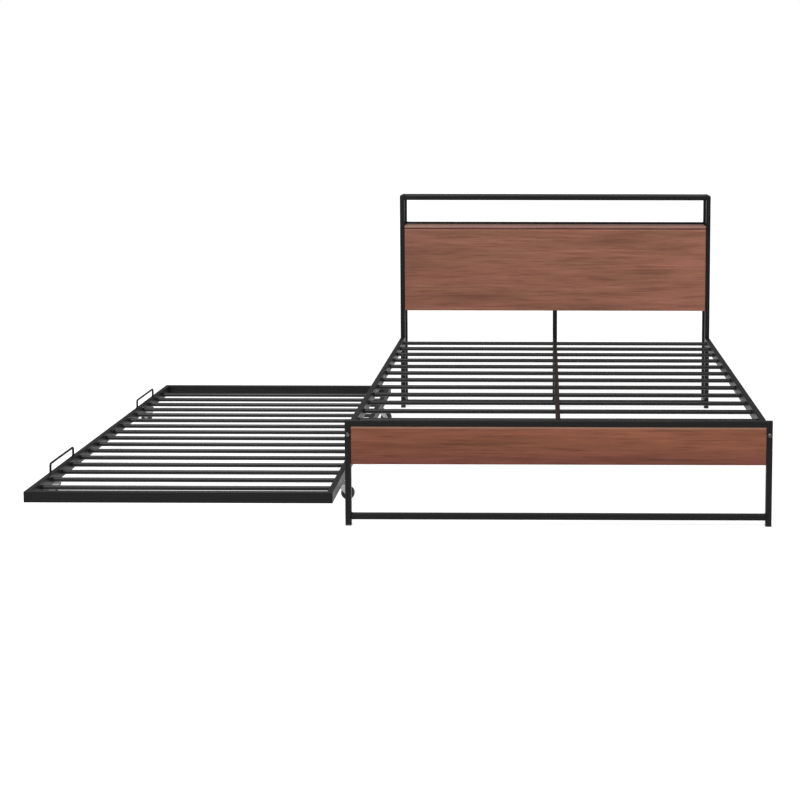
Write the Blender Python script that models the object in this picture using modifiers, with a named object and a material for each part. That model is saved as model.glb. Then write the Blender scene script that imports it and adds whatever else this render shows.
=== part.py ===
"""Full-size metal platform bed with a twin roll-out trundle.

Metres, +Z up, +X to the bed's right side as seen from its foot, +Y from the foot to the head.
The origin is the centre of the whole object's footprint on the floor, with the trundle pulled out.
"""
import math

import bmesh
import bpy
from mathutils import Matrix, Vector

# ---------------------------------------------------------------- driving dimensions
TUBE = 0.020              # side of the square frame tube
WALL = 0.0012             # wall of every steel tube
EDGE = 0.0022             # outer corner radius of the square tube
GAP = 0.0003              # clearance left between two pieces that touch

BED_WIDTH = 1.410         # outside the side rails, for a 54 in mattress
BED_LENGTH = 1.989        # foot frame's front face to head frame's front face
FOOT_HEIGHT = 0.353
PANEL_THICKNESS = 0.015
PANEL_RECESS = 0.0025     # panel face behind the frame's front face
FOOT_PANEL_LOW = 0.206
FOOT_RAIL_LOW = 0.0205    # underside of the foot's lower rail
POST_FLOOR = 0.003        # thickness of the plugged bottom of a post

RAIL_HEIGHT = 0.040       # bed side rail, 20 x 40 tube
RAIL_TOP = 0.326
BEAM_WIDTH = 0.016
BEAM_HEIGHT = 0.032
BEAM_PLATE = (0.046, 0.003, 0.048)
SLAT_DIAMETER = 0.016
SLAT_SIDES = 16
BED_SLATS = 13
BED_SLAT_PITCH = 0.1553
BED_SLAT_FIRST = 0.0795   # first slat's centre, from the foot frame's front face

HEAD_HEIGHT = 0.975
HEAD_DEPTH = 0.145        # front face of the front posts to rear face of the rear posts
HEAD_PANEL_LOW = 0.450
HEAD_PANEL_TOP = 0.8255
SHELF_THICKNESS = 0.012
SHELF_RAIL_TOP = 0.846
HEAD_RAIL_LOW = 0.0155    # underside of the head's lower rail
TOP_SHEET = 0.0015        # folded sheet of the headboard's top

TRUNDLE_WIDTH = 1.030
TRUNDLE_LENGTH = 1.953    # outside the end rails, for a 75 in mattress
TRUNDLE_START = 0.027     # its front face, from the foot frame's front face
TRUNDLE_OUT = 0.045       # gap between the bed's side and the pulled-out trundle
TRUNDLE_TOP = 0.105
TRUNDLE_RAIL_HEIGHT = 0.038
TRUNDLE_SLAT_DROP = 0.0015   # slats' centres, below the rails' middle
TRUNDLE_SLATS = 16
TRUNDLE_SLAT_PITCH = 0.1122

HANDLE_WIRE = 0.008
HANDLE_LENGTH = 0.262
HANDLE_RISE = 0.035
HANDLE_BEND = 0.009
HANDLE_OFFSET = 0.578     # handle's middle, from the trundle's middle
HANDLE_INSET = 0.0055     # wire's centre, in from the rail's outer face

CASTER_OFFSET = 0.659     # swivel axis, from the trundle's middle
CASTER_TRAIL = 0.020      # wheel's axle, from the swivel axis
WHEEL_RADIUS = 0.024
WHEEL_WIDTH = 0.017
AXLE_RADIUS = 0.003
AXLE_PLAY = 0.0003
FORK_PLATE = 0.002
FORK_INSIDE = 0.0195      # between the fork's cheeks
FORK_TOP = 0.0580
FORK_TOP_RADIUS = 0.015
RACE_RADIUS = 0.0115
RACE_TOP = 0.0640
COLLAR_RADIUS = 0.0075
STEM_RADIUS = 0.0045
STEM_TOP = 0.096
STEM_HOLE = 0.0049

# ---------------------------------------------------------------- derived places
HALF_BED = BED_WIDTH / 2
TRUNDLE_LEFT = -HALF_BED - TRUNDLE_OUT - TRUNDLE_WIDTH
CASTER_LEFT = TRUNDLE_LEFT + TUBE / 2
OBJECT_LEFT = CASTER_LEFT - CASTER_TRAIL - WHEEL_RADIUS
OBJECT_REAR = BED_LENGTH + HEAD_DEPTH
BED_X = -(OBJECT_LEFT + HALF_BED) / 2      # bed's centre line in the object's frame
BED_Y = -OBJECT_REAR / 2                   # foot frame's front face in the object's frame
TRUNDLE_X = BED_X + TRUNDLE_LEFT + TRUNDLE_WIDTH / 2
TRUNDLE_Y = BED_Y + TRUNDLE_START + TRUNDLE_LENGTH / 2
HEAD_Y = BED_Y + BED_LENGTH
CLEAR_WIDTH = BED_WIDTH - 2 * TUBE - 2 * GAP
SHELF_LOW = HEAD_PANEL_TOP + GAP
SHELF_DEPTH = HEAD_DEPTH - TUBE - PANEL_RECESS - GAP


# ---------------------------------------------------------------- scene and materials
def clear_scene():
    for item in list(bpy.data.objects):
        bpy.data.objects.remove(item, do_unlink=True)


def new_collection(name):
    group = bpy.data.collections.new(name)
    bpy.context.scene.collection.children.link(group)
    return group


def new_material(name, color, roughness, metallic):
    material = bpy.data.materials.new(name)
    material.use_nodes = True
    shader = material.node_tree.nodes["Principled BSDF"]
    shader.inputs["Base Color"].default_value = (*color, 1.0)
    shader.inputs["Roughness"].default_value = roughness
    shader.inputs["Metallic"].default_value = metallic
    material.diffuse_color = (*color, 1.0)
    return material


clear_scene()
PARTS = new_collection("trundle_bed")
CUTTERS = new_collection("cutters")

BLACK_METAL = (0.018, 0.018, 0.019)
WALNUT = (0.24, 0.105, 0.068)
ZINC = (0.50, 0.51, 0.52)
TYRE = (0.012, 0.012, 0.013)


def add_object(name, bm, group=PARTS, location=(0, 0, 0), rotation=(0, 0, 0)):
    """Turn a bmesh into a named object, with its normals facing out."""
    bmesh.ops.recalc_face_normals(bm, faces=bm.faces)
    mesh = bpy.data.meshes.new(name)
    bm.to_mesh(mesh)
    bm.free()
    item = bpy.data.objects.new(name, mesh)
    item.location = location
    item.rotation_euler = rotation
    group.objects.link(item)
    return item


def finish(item, color, roughness, metallic=0.0, smooth_angle=40):
    """Give an object its own material and smooth shading on its rounded faces."""
    item.data.materials.clear()
    item.data.materials.append(new_material(item.name, color, roughness, metallic))
    item.data.shade_smooth()
    item.data.set_sharp_from_angle(angle=math.radians(smooth_angle))
    return item


def as_cutter(item):
    item.hide_render = True
    item.display_type = "WIRE"
    return item


def boolean(item, cutter, operation="DIFFERENCE"):
    modifier = item.modifiers.new(operation.lower(), "BOOLEAN")
    modifier.operation = operation
    modifier.solver = "EXACT"
    modifier.object = cutter


# ---------------------------------------------------------------- building blocks
def add_prism(bm, width, depth, length, radius, segments=2):
    """A bar along Z with rounded long edges, as an open shell. Returns its vertices."""
    made = bmesh.ops.create_cube(bm, size=1.0)["verts"]
    bmesh.ops.scale(bm, vec=(width, depth, length), verts=made)
    long_edges = [e for e in {e for v in made for e in v.link_edges}
                  if abs(e.verts[0].co.z - e.verts[1].co.z) > length / 2]
    rounded = bmesh.ops.bevel(bm, geom=long_edges, offset=radius, offset_type="OFFSET",
                              segments=segments, profile=0.5, affect="EDGES")
    bm.normal_update()
    verts = list({v for f in rounded["faces"] for v in f.verts})
    ends = [f for f in {f for v in verts for f in v.link_faces} if abs(f.normal.z) > 0.9]
    bmesh.ops.delete(bm, geom=ends, context="FACES_ONLY")
    return verts


def turn_inwards(bm, verts):
    bmesh.ops.reverse_faces(bm, faces=list({f for v in verts for f in v.link_faces}))


def tube_mesh(width, depth, length, mitre=(0, 0), plug=False):
    """A hollow bar along Z. mitre gives each end's slope along the bar's own X: the lower, the upper.

    A plugged bar has a closed bottom of POST_FLOOR.
    """
    bm = bmesh.new()
    outer = add_prism(bm, width, depth, length, EDGE)
    inner = add_prism(bm, width - 2 * WALL, depth - 2 * WALL, length, EDGE - WALL)
    turn_inwards(bm, inner)
    for vert in outer + inner:
        upper = vert.co.z > 0
        vert.co.z += mitre[upper] * vert.co.x
        if plug and not upper and vert in inner:
            vert.co.z += POST_FLOOR
    open_edges = [e for e in bm.edges if e.is_boundary]
    upper_rims = [e for e in open_edges if e.verts[0].co.z > 0]
    lower_rims = [e for e in open_edges if e.verts[0].co.z < 0]
    bmesh.ops.bridge_loops(bm, edges=upper_rims)
    if plug:
        bmesh.ops.holes_fill(bm, edges=lower_rims, sides=0)
    else:
        bmesh.ops.bridge_loops(bm, edges=lower_rims)
    return bm


TURN = {"X": (0, math.pi / 2, 0), "Y": (-math.pi / 2, 0, 0), "Z": (0, 0, 0)}


def steel_tube(name, axis, centre, width, depth, length, **ends):
    """width is the section along the bar's own X, and depth along its own Y.

    A bar along X has its width upright; a bar along Y has its depth upright.
    """
    item = add_object(name, tube_mesh(width, depth, length, **ends), location=centre,
                      rotation=TURN[axis])
    return finish(item, BLACK_METAL, 0.42)


def add_box(bm, size, centre):
    made = bmesh.ops.create_cube(bm, size=1.0)["verts"]
    bmesh.ops.scale(bm, vec=size, verts=made)
    bmesh.ops.translate(bm, vec=centre, verts=made)
    return made


def add_cylinder(bm, radius, bottom, top, sides=24, centre=(0, 0)):
    spot = Matrix.Translation((centre[0], centre[1], (bottom + top) / 2))
    return bmesh.ops.create_cone(bm, cap_ends=True, segments=sides, radius1=radius, radius2=radius,
                                 depth=top - bottom, matrix=spot)["verts"]


def board(name, size, centre, radius=0.0012):
    """A flat wood panel with slightly eased edges."""
    bm = bmesh.new()
    add_box(bm, size, (0, 0, 0))
    item = add_object(name, bm, location=centre)
    bevel = item.modifiers.new("eased_edges", "BEVEL")
    bevel.width = radius
    bevel.segments = 2
    return finish(item, WALNUT, 0.5)


def pipe(name, length, centre):
    """A round slat along X: a hollow tube, open at both ends."""
    bm = bmesh.new()
    for radius in (SLAT_DIAMETER / 2, SLAT_DIAMETER / 2 - WALL):
        made = bmesh.ops.create_cone(bm, cap_ends=False, segments=SLAT_SIDES, radius1=radius,
                                     radius2=radius, depth=length)["verts"]
    turn_inwards(bm, made)
    for end in (-1, 1):
        rims = [e for e in bm.edges if e.is_boundary and e.verts[0].co.z * end > 0]
        bmesh.ops.bridge_loops(bm, edges=rims)
    item = add_object(name, bm, location=centre, rotation=TURN["X"])
    return finish(item, BLACK_METAL, 0.42)


def flat_curve(name, outlines, thickness):
    """A flat filled outline, with any gaps in it, as a curve object extruded about its own plane."""
    curve = bpy.data.curves.new(name, "CURVE")
    curve.dimensions = "2D"
    curve.fill_mode = "BOTH"
    curve.extrude = thickness / 2
    for outline in outlines:
        spline = curve.splines.new("POLY")
        spline.points.add(len(outline) - 1)
        for target, (u, v) in zip(spline.points, outline):
            target.co = (u, v, 0, 1)
        spline.use_cyclic_u = True
    flat = bpy.data.objects.new(name, curve)
    CUTTERS.objects.link(flat)
    return flat


def as_mesh(flat, group=CUTTERS):
    """Replace a curve object by a welded mesh of the same shape and place, for a Boolean to use."""
    bpy.context.view_layer.update()
    name = flat.name
    place = flat.matrix_world.copy()
    shape = bpy.data.meshes.new_from_object(flat.evaluated_get(bpy.context.evaluated_depsgraph_get()))
    bpy.data.objects.remove(flat, do_unlink=True)
    bm = bmesh.new()
    bm.from_mesh(shape)
    bmesh.ops.remove_doubles(bm, verts=bm.verts, dist=0.00001)
    item = add_object(name, bm, group)
    item.matrix_world = place
    return item


# ---------------------------------------------------------------- the bed: foot, rails and deck
def build_foot():
    post_x = HALF_BED - TUBE / 2
    middle_y = BED_Y + TUBE / 2
    for side, label in ((-1, "left"), (1, "right")):
        # the post's top is mitred towards the bed's middle, where it meets the top rail
        length = FOOT_HEIGHT - TUBE / 2
        steel_tube(f"foot_post_{label}", "Z", (BED_X + side * post_x, middle_y, length / 2),
                   TUBE, TUBE, length, mitre=(0, side), plug=True)
    rail_length = BED_WIDTH - TUBE - 2 * math.sqrt(2) * GAP
    steel_tube("foot_top_rail", "X", (BED_X, middle_y, FOOT_HEIGHT - TUBE / 2),
               TUBE, TUBE, rail_length, mitre=(1, -1))
    steel_tube("foot_lower_rail", "X", (BED_X, middle_y, FOOT_RAIL_LOW + TUBE / 2),
               TUBE, TUBE, CLEAR_WIDTH)
    top = FOOT_HEIGHT - TUBE - GAP
    board("foot_panel", (CLEAR_WIDTH, PANEL_THICKNESS, top - FOOT_PANEL_LOW),
          (BED_X, BED_Y + PANEL_RECESS + PANEL_THICKNESS / 2, (top + FOOT_PANEL_LOW) / 2))


def build_side_rails():
    length = BED_LENGTH - TUBE - 2 * GAP
    middle_y = BED_Y + TUBE + GAP + length / 2
    for side, label in ((-1, "left"), (1, "right")):
        steel_tube(f"side_rail_{label}", "Y",
                   (BED_X + side * (HALF_BED - TUBE / 2), middle_y, RAIL_TOP - RAIL_HEIGHT / 2),
                   TUBE, RAIL_HEIGHT, length)


def build_deck():
    slat_z = RAIL_TOP - RAIL_HEIGHT / 2
    places = [BED_Y + BED_SLAT_FIRST + i * BED_SLAT_PITCH for i in range(BED_SLATS)]
    for number, y in enumerate(places, start=1):
        pipe(f"bed_slat_{number:02d}", CLEAR_WIDTH, (BED_X, y, slat_z))

    # the centre beam is punched for the slats and carries an end plate for the foot's top rail
    length = BED_LENGTH - TUBE - 2 * GAP
    middle = Vector((BED_X, BED_Y + TUBE + GAP + length / 2, RAIL_TOP - BEAM_HEIGHT / 2))
    beam = steel_tube("centre_beam", "Y", middle, BEAM_WIDTH, BEAM_HEIGHT, length)
    bm = bmesh.new()
    for y in places:
        made = bmesh.ops.create_cone(bm, cap_ends=True, segments=SLAT_SIDES,
                                     radius1=SLAT_DIAMETER / 2 + GAP,
                                     radius2=SLAT_DIAMETER / 2 + GAP, depth=4 * BEAM_WIDTH)["verts"]
        bmesh.ops.rotate(bm, verts=made, matrix=Matrix.Rotation(math.pi / 2, 3, "Y"))
        bmesh.ops.translate(bm, verts=made, vec=(BED_X, y, slat_z))
    boolean(beam, as_cutter(add_object("beam_slat_holes", bm, CUTTERS)))
    bm = bmesh.new()
    add_box(bm, BEAM_PLATE, (BED_X, BED_Y + TUBE + GAP + BEAM_PLATE[1] / 2,
                             FOOT_HEIGHT - 0.004 - BEAM_PLATE[2] / 2))
    boolean(beam, as_cutter(add_object("beam_end_plate", bm, CUTTERS)), "UNION")


# ---------------------------------------------------------------- the headboard
def ladder_outlines(cross_levels):
    """The side frame's outline in its own plane, y across and z up, and the two gaps inside it."""
    half = HEAD_DEPTH / 2
    inside = half - TUBE
    lowest, shelf, top = cross_levels
    outer = [(-half, 0), (-half, HEAD_HEIGHT), (half, HEAD_HEIGHT), (half, 0), (inside, 0),
             (inside, lowest - TUBE / 2), (-inside, lowest - TUBE / 2), (-inside, 0)]
    gaps = []
    for low, high in ((lowest, shelf), (shelf, top)):
        gaps.append([(-inside, low + TUBE / 2), (inside, low + TUBE / 2),
                     (inside, high - TUBE / 2), (-inside, high - TUBE / 2)])
    return [outer] + gaps


def build_head_side(side, label):
    """Front and rear post with three cross tubes, welded into one ladder."""
    x = BED_X + side * (HALF_BED - TUBE / 2)
    front = HEAD_Y + TUBE / 2
    rear = HEAD_Y + HEAD_DEPTH - TUBE / 2
    middle = (front + rear) / 2
    cross_levels = (HEAD_RAIL_LOW + TUBE / 2, SHELF_LOW - TUBE / 2, HEAD_HEIGHT - TUBE / 2)

    flat = flat_curve(f"head_side_{label}", ladder_outlines(cross_levels), TUBE - 2 * EDGE)
    flat.data.bevel_depth = EDGE
    flat.data.bevel_resolution = 1
    flat.data.offset = -EDGE
    flat.location = (x, middle, 0)
    flat.rotation_euler = Matrix(((0, 0, 1), (1, 0, 0), (0, 1, 0))).to_euler()
    frame = as_mesh(flat, PARTS)

    # the hollow inside, open through a bolt hole behind the end of the headboard's top
    bore = TUBE - 2 * WALL
    hollows = [((bore, bore, HEAD_HEIGHT - WALL - POST_FLOOR),
                (x, y, (HEAD_HEIGHT - WALL + POST_FLOOR) / 2)) for y in (front, rear)]
    hollows += [((bore, rear - front, bore), (x, middle, z)) for z in cross_levels]
    for number, (size, centre) in enumerate(hollows):
        bm = bmesh.new()
        add_box(bm, size, centre)
        boolean(frame, as_cutter(add_object(f"head_hollow_{label}_{number}", bm, CUTTERS)))
    bm = bmesh.new()
    made = add_cylinder(bm, 0.004, -TUBE / 2, TUBE / 2, sides=12)
    bmesh.ops.rotate(bm, verts=made, matrix=Matrix.Rotation(math.pi / 2, 3, "Y"))
    bmesh.ops.translate(bm, verts=made, vec=(x - side * TUBE / 2, front, HEAD_HEIGHT - TUBE / 2))
    boolean(frame, as_cutter(add_object(f"head_bolt_hole_{label}", bm, CUTTERS)))
    finish(frame, BLACK_METAL, 0.42)


def build_head():
    build_head_side(-1, "left")
    build_head_side(1, "right")
    front = HEAD_Y + TUBE / 2
    rear = HEAD_Y + HEAD_DEPTH - TUBE / 2

    # the top is one folded sheet, open underneath
    bm = bmesh.new()
    made = add_box(bm, (CLEAR_WIDTH, HEAD_DEPTH, TUBE), (0, 0, 0))
    bottom = [f for f in {f for v in made for f in v.link_faces} if f.calc_center_median().z < -0.001]
    bmesh.ops.delete(bm, geom=bottom, context="FACES_ONLY")
    top = add_object("head_top", bm, location=(BED_X, HEAD_Y + HEAD_DEPTH / 2, HEAD_HEIGHT - TUBE / 2))
    bevel = top.modifiers.new("folds", "BEVEL")
    bevel.width = EDGE
    bevel.segments = 2
    bevel.limit_method = "ANGLE"
    sheet = top.modifiers.new("sheet", "SOLIDIFY")
    sheet.thickness = TOP_SHEET
    sheet.offset = -1
    sheet.use_even_offset = True
    finish(top, BLACK_METAL, 0.42)

    board("head_panel", (CLEAR_WIDTH, PANEL_THICKNESS, HEAD_PANEL_TOP - HEAD_PANEL_LOW),
          (BED_X, HEAD_Y + PANEL_RECESS + PANEL_THICKNESS / 2, (HEAD_PANEL_TOP + HEAD_PANEL_LOW) / 2))
    board("head_shelf", (CLEAR_WIDTH, SHELF_DEPTH, SHELF_THICKNESS),
          (BED_X, HEAD_Y + PANEL_RECESS + SHELF_DEPTH / 2, SHELF_LOW + SHELF_THICKNESS / 2))
    steel_tube("head_shelf_rail", "X", (BED_X, rear, SHELF_RAIL_TOP - TUBE / 2), TUBE, TUBE, CLEAR_WIDTH)
    steel_tube("head_lower_rail", "X", (BED_X, front, HEAD_RAIL_LOW + TUBE / 2), TUBE, TUBE, CLEAR_WIDTH)
    low = HEAD_RAIL_LOW + TUBE + GAP
    high = HEAD_PANEL_LOW - GAP
    steel_tube("head_centre_bar", "Z", (BED_X, front, (low + high) / 2), TUBE, TUBE, high - low)


# ---------------------------------------------------------------- the trundle frame
def build_trundle_frame():
    rail_z = TRUNDLE_TOP - TRUNDLE_RAIL_HEIGHT / 2
    side_x = TRUNDLE_WIDTH / 2 - TUBE / 2
    rails = {}
    # the corners are mitred, with a thin gap between the two cut faces
    long_length = TRUNDLE_LENGTH - TUBE
    short_length = TRUNDLE_WIDTH - TUBE - 2 * math.sqrt(2) * GAP
    for side, label in ((-1, "left"), (1, "right")):
        name = f"trundle_rail_{label}"
        rails[side] = steel_tube(name, "Y", (TRUNDLE_X + side * side_x, TRUNDLE_Y, rail_z),
                                 TUBE, TRUNDLE_RAIL_HEIGHT, long_length, mitre=(-side, side))
    for side, label in ((-1, "front"), (1, "rear")):
        y = TRUNDLE_Y + side * (TRUNDLE_LENGTH / 2 - TUBE / 2)
        item = add_object(f"trundle_rail_{label}",
                          tube_mesh(TUBE, TRUNDLE_RAIL_HEIGHT, short_length, mitre=(-side, side)),
                          location=(TRUNDLE_X, y, rail_z),
                          rotation=Matrix(((0, 0, 1), (1, 0, 0), (0, 1, 0))).to_euler())
        finish(item, BLACK_METAL, 0.42)
    for number in range(1, TRUNDLE_SLATS + 1):
        y = TRUNDLE_Y + (number - (TRUNDLE_SLATS + 1) / 2) * TRUNDLE_SLAT_PITCH
        place = (TRUNDLE_X, y, rail_z - TRUNDLE_SLAT_DROP)
        pipe(f"trundle_slat_{number:02d}", TRUNDLE_WIDTH - 2 * TUBE - 2 * GAP, place)
    return rails


def build_handle(label, y):
    """A bent wire bow on the left rail's top, square in outline with rounded bends."""
    half = HANDLE_LENGTH / 2
    low = TRUNDLE_TOP + GAP
    high = TRUNDLE_TOP + HANDLE_RISE - HANDLE_WIRE / 2
    points = [Vector((0, -half, low))]
    for turn in range(5):
        angle = math.radians(180 - 22.5 * turn)
        points.append(Vector((0, -half + HANDLE_BEND * (1 + math.cos(angle)),
                              high - HANDLE_BEND * (1 - math.sin(angle)))))
    points += [Vector((0, -p.y, p.z)) for p in reversed(points)]

    curve = bpy.data.curves.new(f"handle_{label}_path", "CURVE")
    curve.dimensions = "3D"
    curve.bevel_depth = HANDLE_WIRE / 2
    curve.bevel_resolution = 3
    curve.use_fill_caps = True
    spline = curve.splines.new("POLY")
    spline.points.add(len(points) - 1)
    for target, point in zip(spline.points, points):
        target.co = (*point, 1)
    item = bpy.data.objects.new(f"trundle_handle_{label}", curve)
    item.location = (TRUNDLE_X - TRUNDLE_WIDTH / 2 + HANDLE_INSET, y, 0)
    PARTS.objects.link(item)
    curve.materials.append(new_material(item.name, BLACK_METAL, 0.4, 0.0))


# ---------------------------------------------------------------- the casters
def wheel_mesh():
    """A turned wheel about its own Z: rounded tread, recessed web, hub with the axle's bore."""
    half = WHEEL_WIDTH / 2
    crown = 0.004
    bore = AXLE_RADIUS + AXLE_PLAY
    profile = [(bore, half), (0.0075, half), (0.0085, half - 0.003), (0.0165, half - 0.003),
               (0.0175, half - 0.0005), (WHEEL_RADIUS - crown, half - 0.0005)]
    for step in range(1, 3):
        angle = math.radians(90 - 90 * step / 2)
        profile.append((WHEEL_RADIUS - crown + crown * math.cos(angle),
                        half - 0.0005 - crown + crown * math.sin(angle)))
    profile += [(radius, -height) for radius, height in reversed(profile)]
    bm = bmesh.new()
    verts = [bm.verts.new((radius, 0, height)) for radius, height in profile]
    for first, second in zip(verts, verts[1:] + verts[:1]):
        bm.edges.new((first, second))
    bmesh.ops.spin(bm, geom=bm.verts[:] + bm.edges[:], axis=(0, 0, 1), cent=(0, 0, 0),
                   steps=24, angle=2 * math.pi, use_duplicate=False)
    bmesh.ops.remove_doubles(bm, verts=bm.verts, dist=0.00001)
    return bm


def cheek_outline():
    """A fork cheek in its own plane: a wide top that narrows to a round end about the axle."""
    end_radius = 0.0075
    top = FORK_TOP - FORK_PLATE / 2
    points = [(-0.0125, top), (-0.0125, top - 0.007)]
    for step in range(7):
        angle = math.radians(215 + 180 * step / 6)
        points.append((CASTER_TRAIL + end_radius * math.cos(angle),
                       WHEEL_RADIUS + end_radius * math.sin(angle)))
    points += [(0.0165, top - 0.009), (0.0125, top)]
    return points


def build_caster(label, x, y, trail_side):
    """Fork and wheel. The fork's own origin is on the swivel axis, the wheel's on the axle."""
    swivel = bpy.data.objects.new(f"swivel_{label}", None)
    swivel.location = (x, y, 0)
    swivel.rotation_euler = (0, 0, 0 if trail_side > 0 else math.pi)
    PARTS.objects.link(swivel)

    bm = bmesh.new()
    add_cylinder(bm, FORK_TOP_RADIUS, FORK_TOP - FORK_PLATE, FORK_TOP, sides=24)
    fork = add_object(f"caster_fork_{label}", bm)
    fork.parent = swivel
    pieces = []
    for side in (-1, 1):
        flat = flat_curve(f"cheek_{label}_{side}", [cheek_outline()], FORK_PLATE)
        flat.rotation_euler = (math.pi / 2, 0, 0)
        flat.location = (0, side * (FORK_INSIDE + FORK_PLATE) / 2, 0)
        pieces.append(as_mesh(flat))
    bm = bmesh.new()
    made = add_cylinder(bm, AXLE_RADIUS, -FORK_INSIDE / 2 - FORK_PLATE - 0.0012,
                        FORK_INSIDE / 2 + FORK_PLATE + 0.0012, sides=16)
    bmesh.ops.rotate(bm, verts=made, matrix=Matrix.Rotation(math.pi / 2, 3, "X"))
    bmesh.ops.translate(bm, verts=made, vec=(CASTER_TRAIL, 0, WHEEL_RADIUS))
    pieces.append(add_object(f"axle_{label}", bm, CUTTERS))
    for name, radius, bottom, top in (("race", RACE_RADIUS, FORK_TOP - 0.001, RACE_TOP),
                                      ("collar", COLLAR_RADIUS, RACE_TOP - 0.001,
                                       TRUNDLE_TOP - TRUNDLE_RAIL_HEIGHT - GAP),
                                      ("stem", STEM_RADIUS, RACE_TOP - 0.001, STEM_TOP)):
        bm = bmesh.new()
        add_cylinder(bm, radius, bottom, top, sides=16)
        pieces.append(add_object(f"{name}_{label}", bm, CUTTERS))
    for piece in pieces:
        piece.parent = swivel
        boolean(fork, as_cutter(piece), "UNION")
    finish(fork, ZINC, 0.3, metallic=1.0)

    wheel = add_object(f"caster_wheel_{label}", wheel_mesh(), location=(CASTER_TRAIL, 0, WHEEL_RADIUS),
                       rotation=(math.pi / 2, 0, 0))
    wheel.parent = swivel
    finish(wheel, TYRE, 0.55)


def build_casters(rails):
    places = []
    for side, column in ((-1, "left"), (1, "right")):
        for end, row in ((-1, "front"), (1, "rear")):
            x = TRUNDLE_X + side * (TRUNDLE_WIDTH / 2 - TUBE / 2)
            places.append((f"{row}_{column}", x, TRUNDLE_Y + end * CASTER_OFFSET, side))
    for side in (-1, 1):
        bm = bmesh.new()
        for label, x, y, trail_side in places:
            if trail_side == side:
                low = TRUNDLE_TOP - TRUNDLE_RAIL_HEIGHT
                add_cylinder(bm, STEM_HOLE, low - 0.01, low + 0.01, sides=20, centre=(x, y))
        boolean(rails[side], as_cutter(add_object(f"stem_holes_{side}", bm, CUTTERS)))
    for place in places:
        build_caster(*place)


build_foot()
build_side_rails()
build_deck()
build_head()
trundle_rails = build_trundle_frame()
for handle_side, handle_label in ((-1, "front"), (1, "rear")):
    build_handle(handle_label, TRUNDLE_Y + handle_side * HANDLE_OFFSET)
build_casters(trundle_rails)
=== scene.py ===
"""Looks for the metal platform bed with its roll-out trundle: materials, welds, bolts, casters, studio."""
import math

import bmesh
import bpy
from mathutils import Matrix, Vector


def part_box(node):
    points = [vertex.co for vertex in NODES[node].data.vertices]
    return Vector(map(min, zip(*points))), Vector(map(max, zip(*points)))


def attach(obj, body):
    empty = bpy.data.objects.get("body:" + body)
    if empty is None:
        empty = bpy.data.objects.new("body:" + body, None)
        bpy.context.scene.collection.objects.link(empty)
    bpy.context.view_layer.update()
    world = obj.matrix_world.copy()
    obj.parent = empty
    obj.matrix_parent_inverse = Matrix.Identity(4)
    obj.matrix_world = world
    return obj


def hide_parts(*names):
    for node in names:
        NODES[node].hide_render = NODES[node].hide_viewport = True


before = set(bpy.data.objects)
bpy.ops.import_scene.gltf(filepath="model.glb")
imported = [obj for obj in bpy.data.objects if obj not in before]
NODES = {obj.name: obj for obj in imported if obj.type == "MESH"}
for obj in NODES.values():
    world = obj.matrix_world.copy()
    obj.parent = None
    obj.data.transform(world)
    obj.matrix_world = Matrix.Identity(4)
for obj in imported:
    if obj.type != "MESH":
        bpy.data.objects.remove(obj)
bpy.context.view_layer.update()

BED = "bed"
TRUNDLE = "trundle"
CORNERS = ("front_left", "front_right", "rear_left", "rear_right")
AXIS_TURN = {
    "+X": Matrix.Rotation(math.pi / 2, 4, "Y"), "-X": Matrix.Rotation(-math.pi / 2, 4, "Y"),
    "+Y": Matrix.Rotation(-math.pi / 2, 4, "X"), "-Y": Matrix.Rotation(math.pi / 2, 4, "X"),
    "+Z": Matrix.Identity(4), "-Z": Matrix.Rotation(math.pi, 4, "X"),
}


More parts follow.
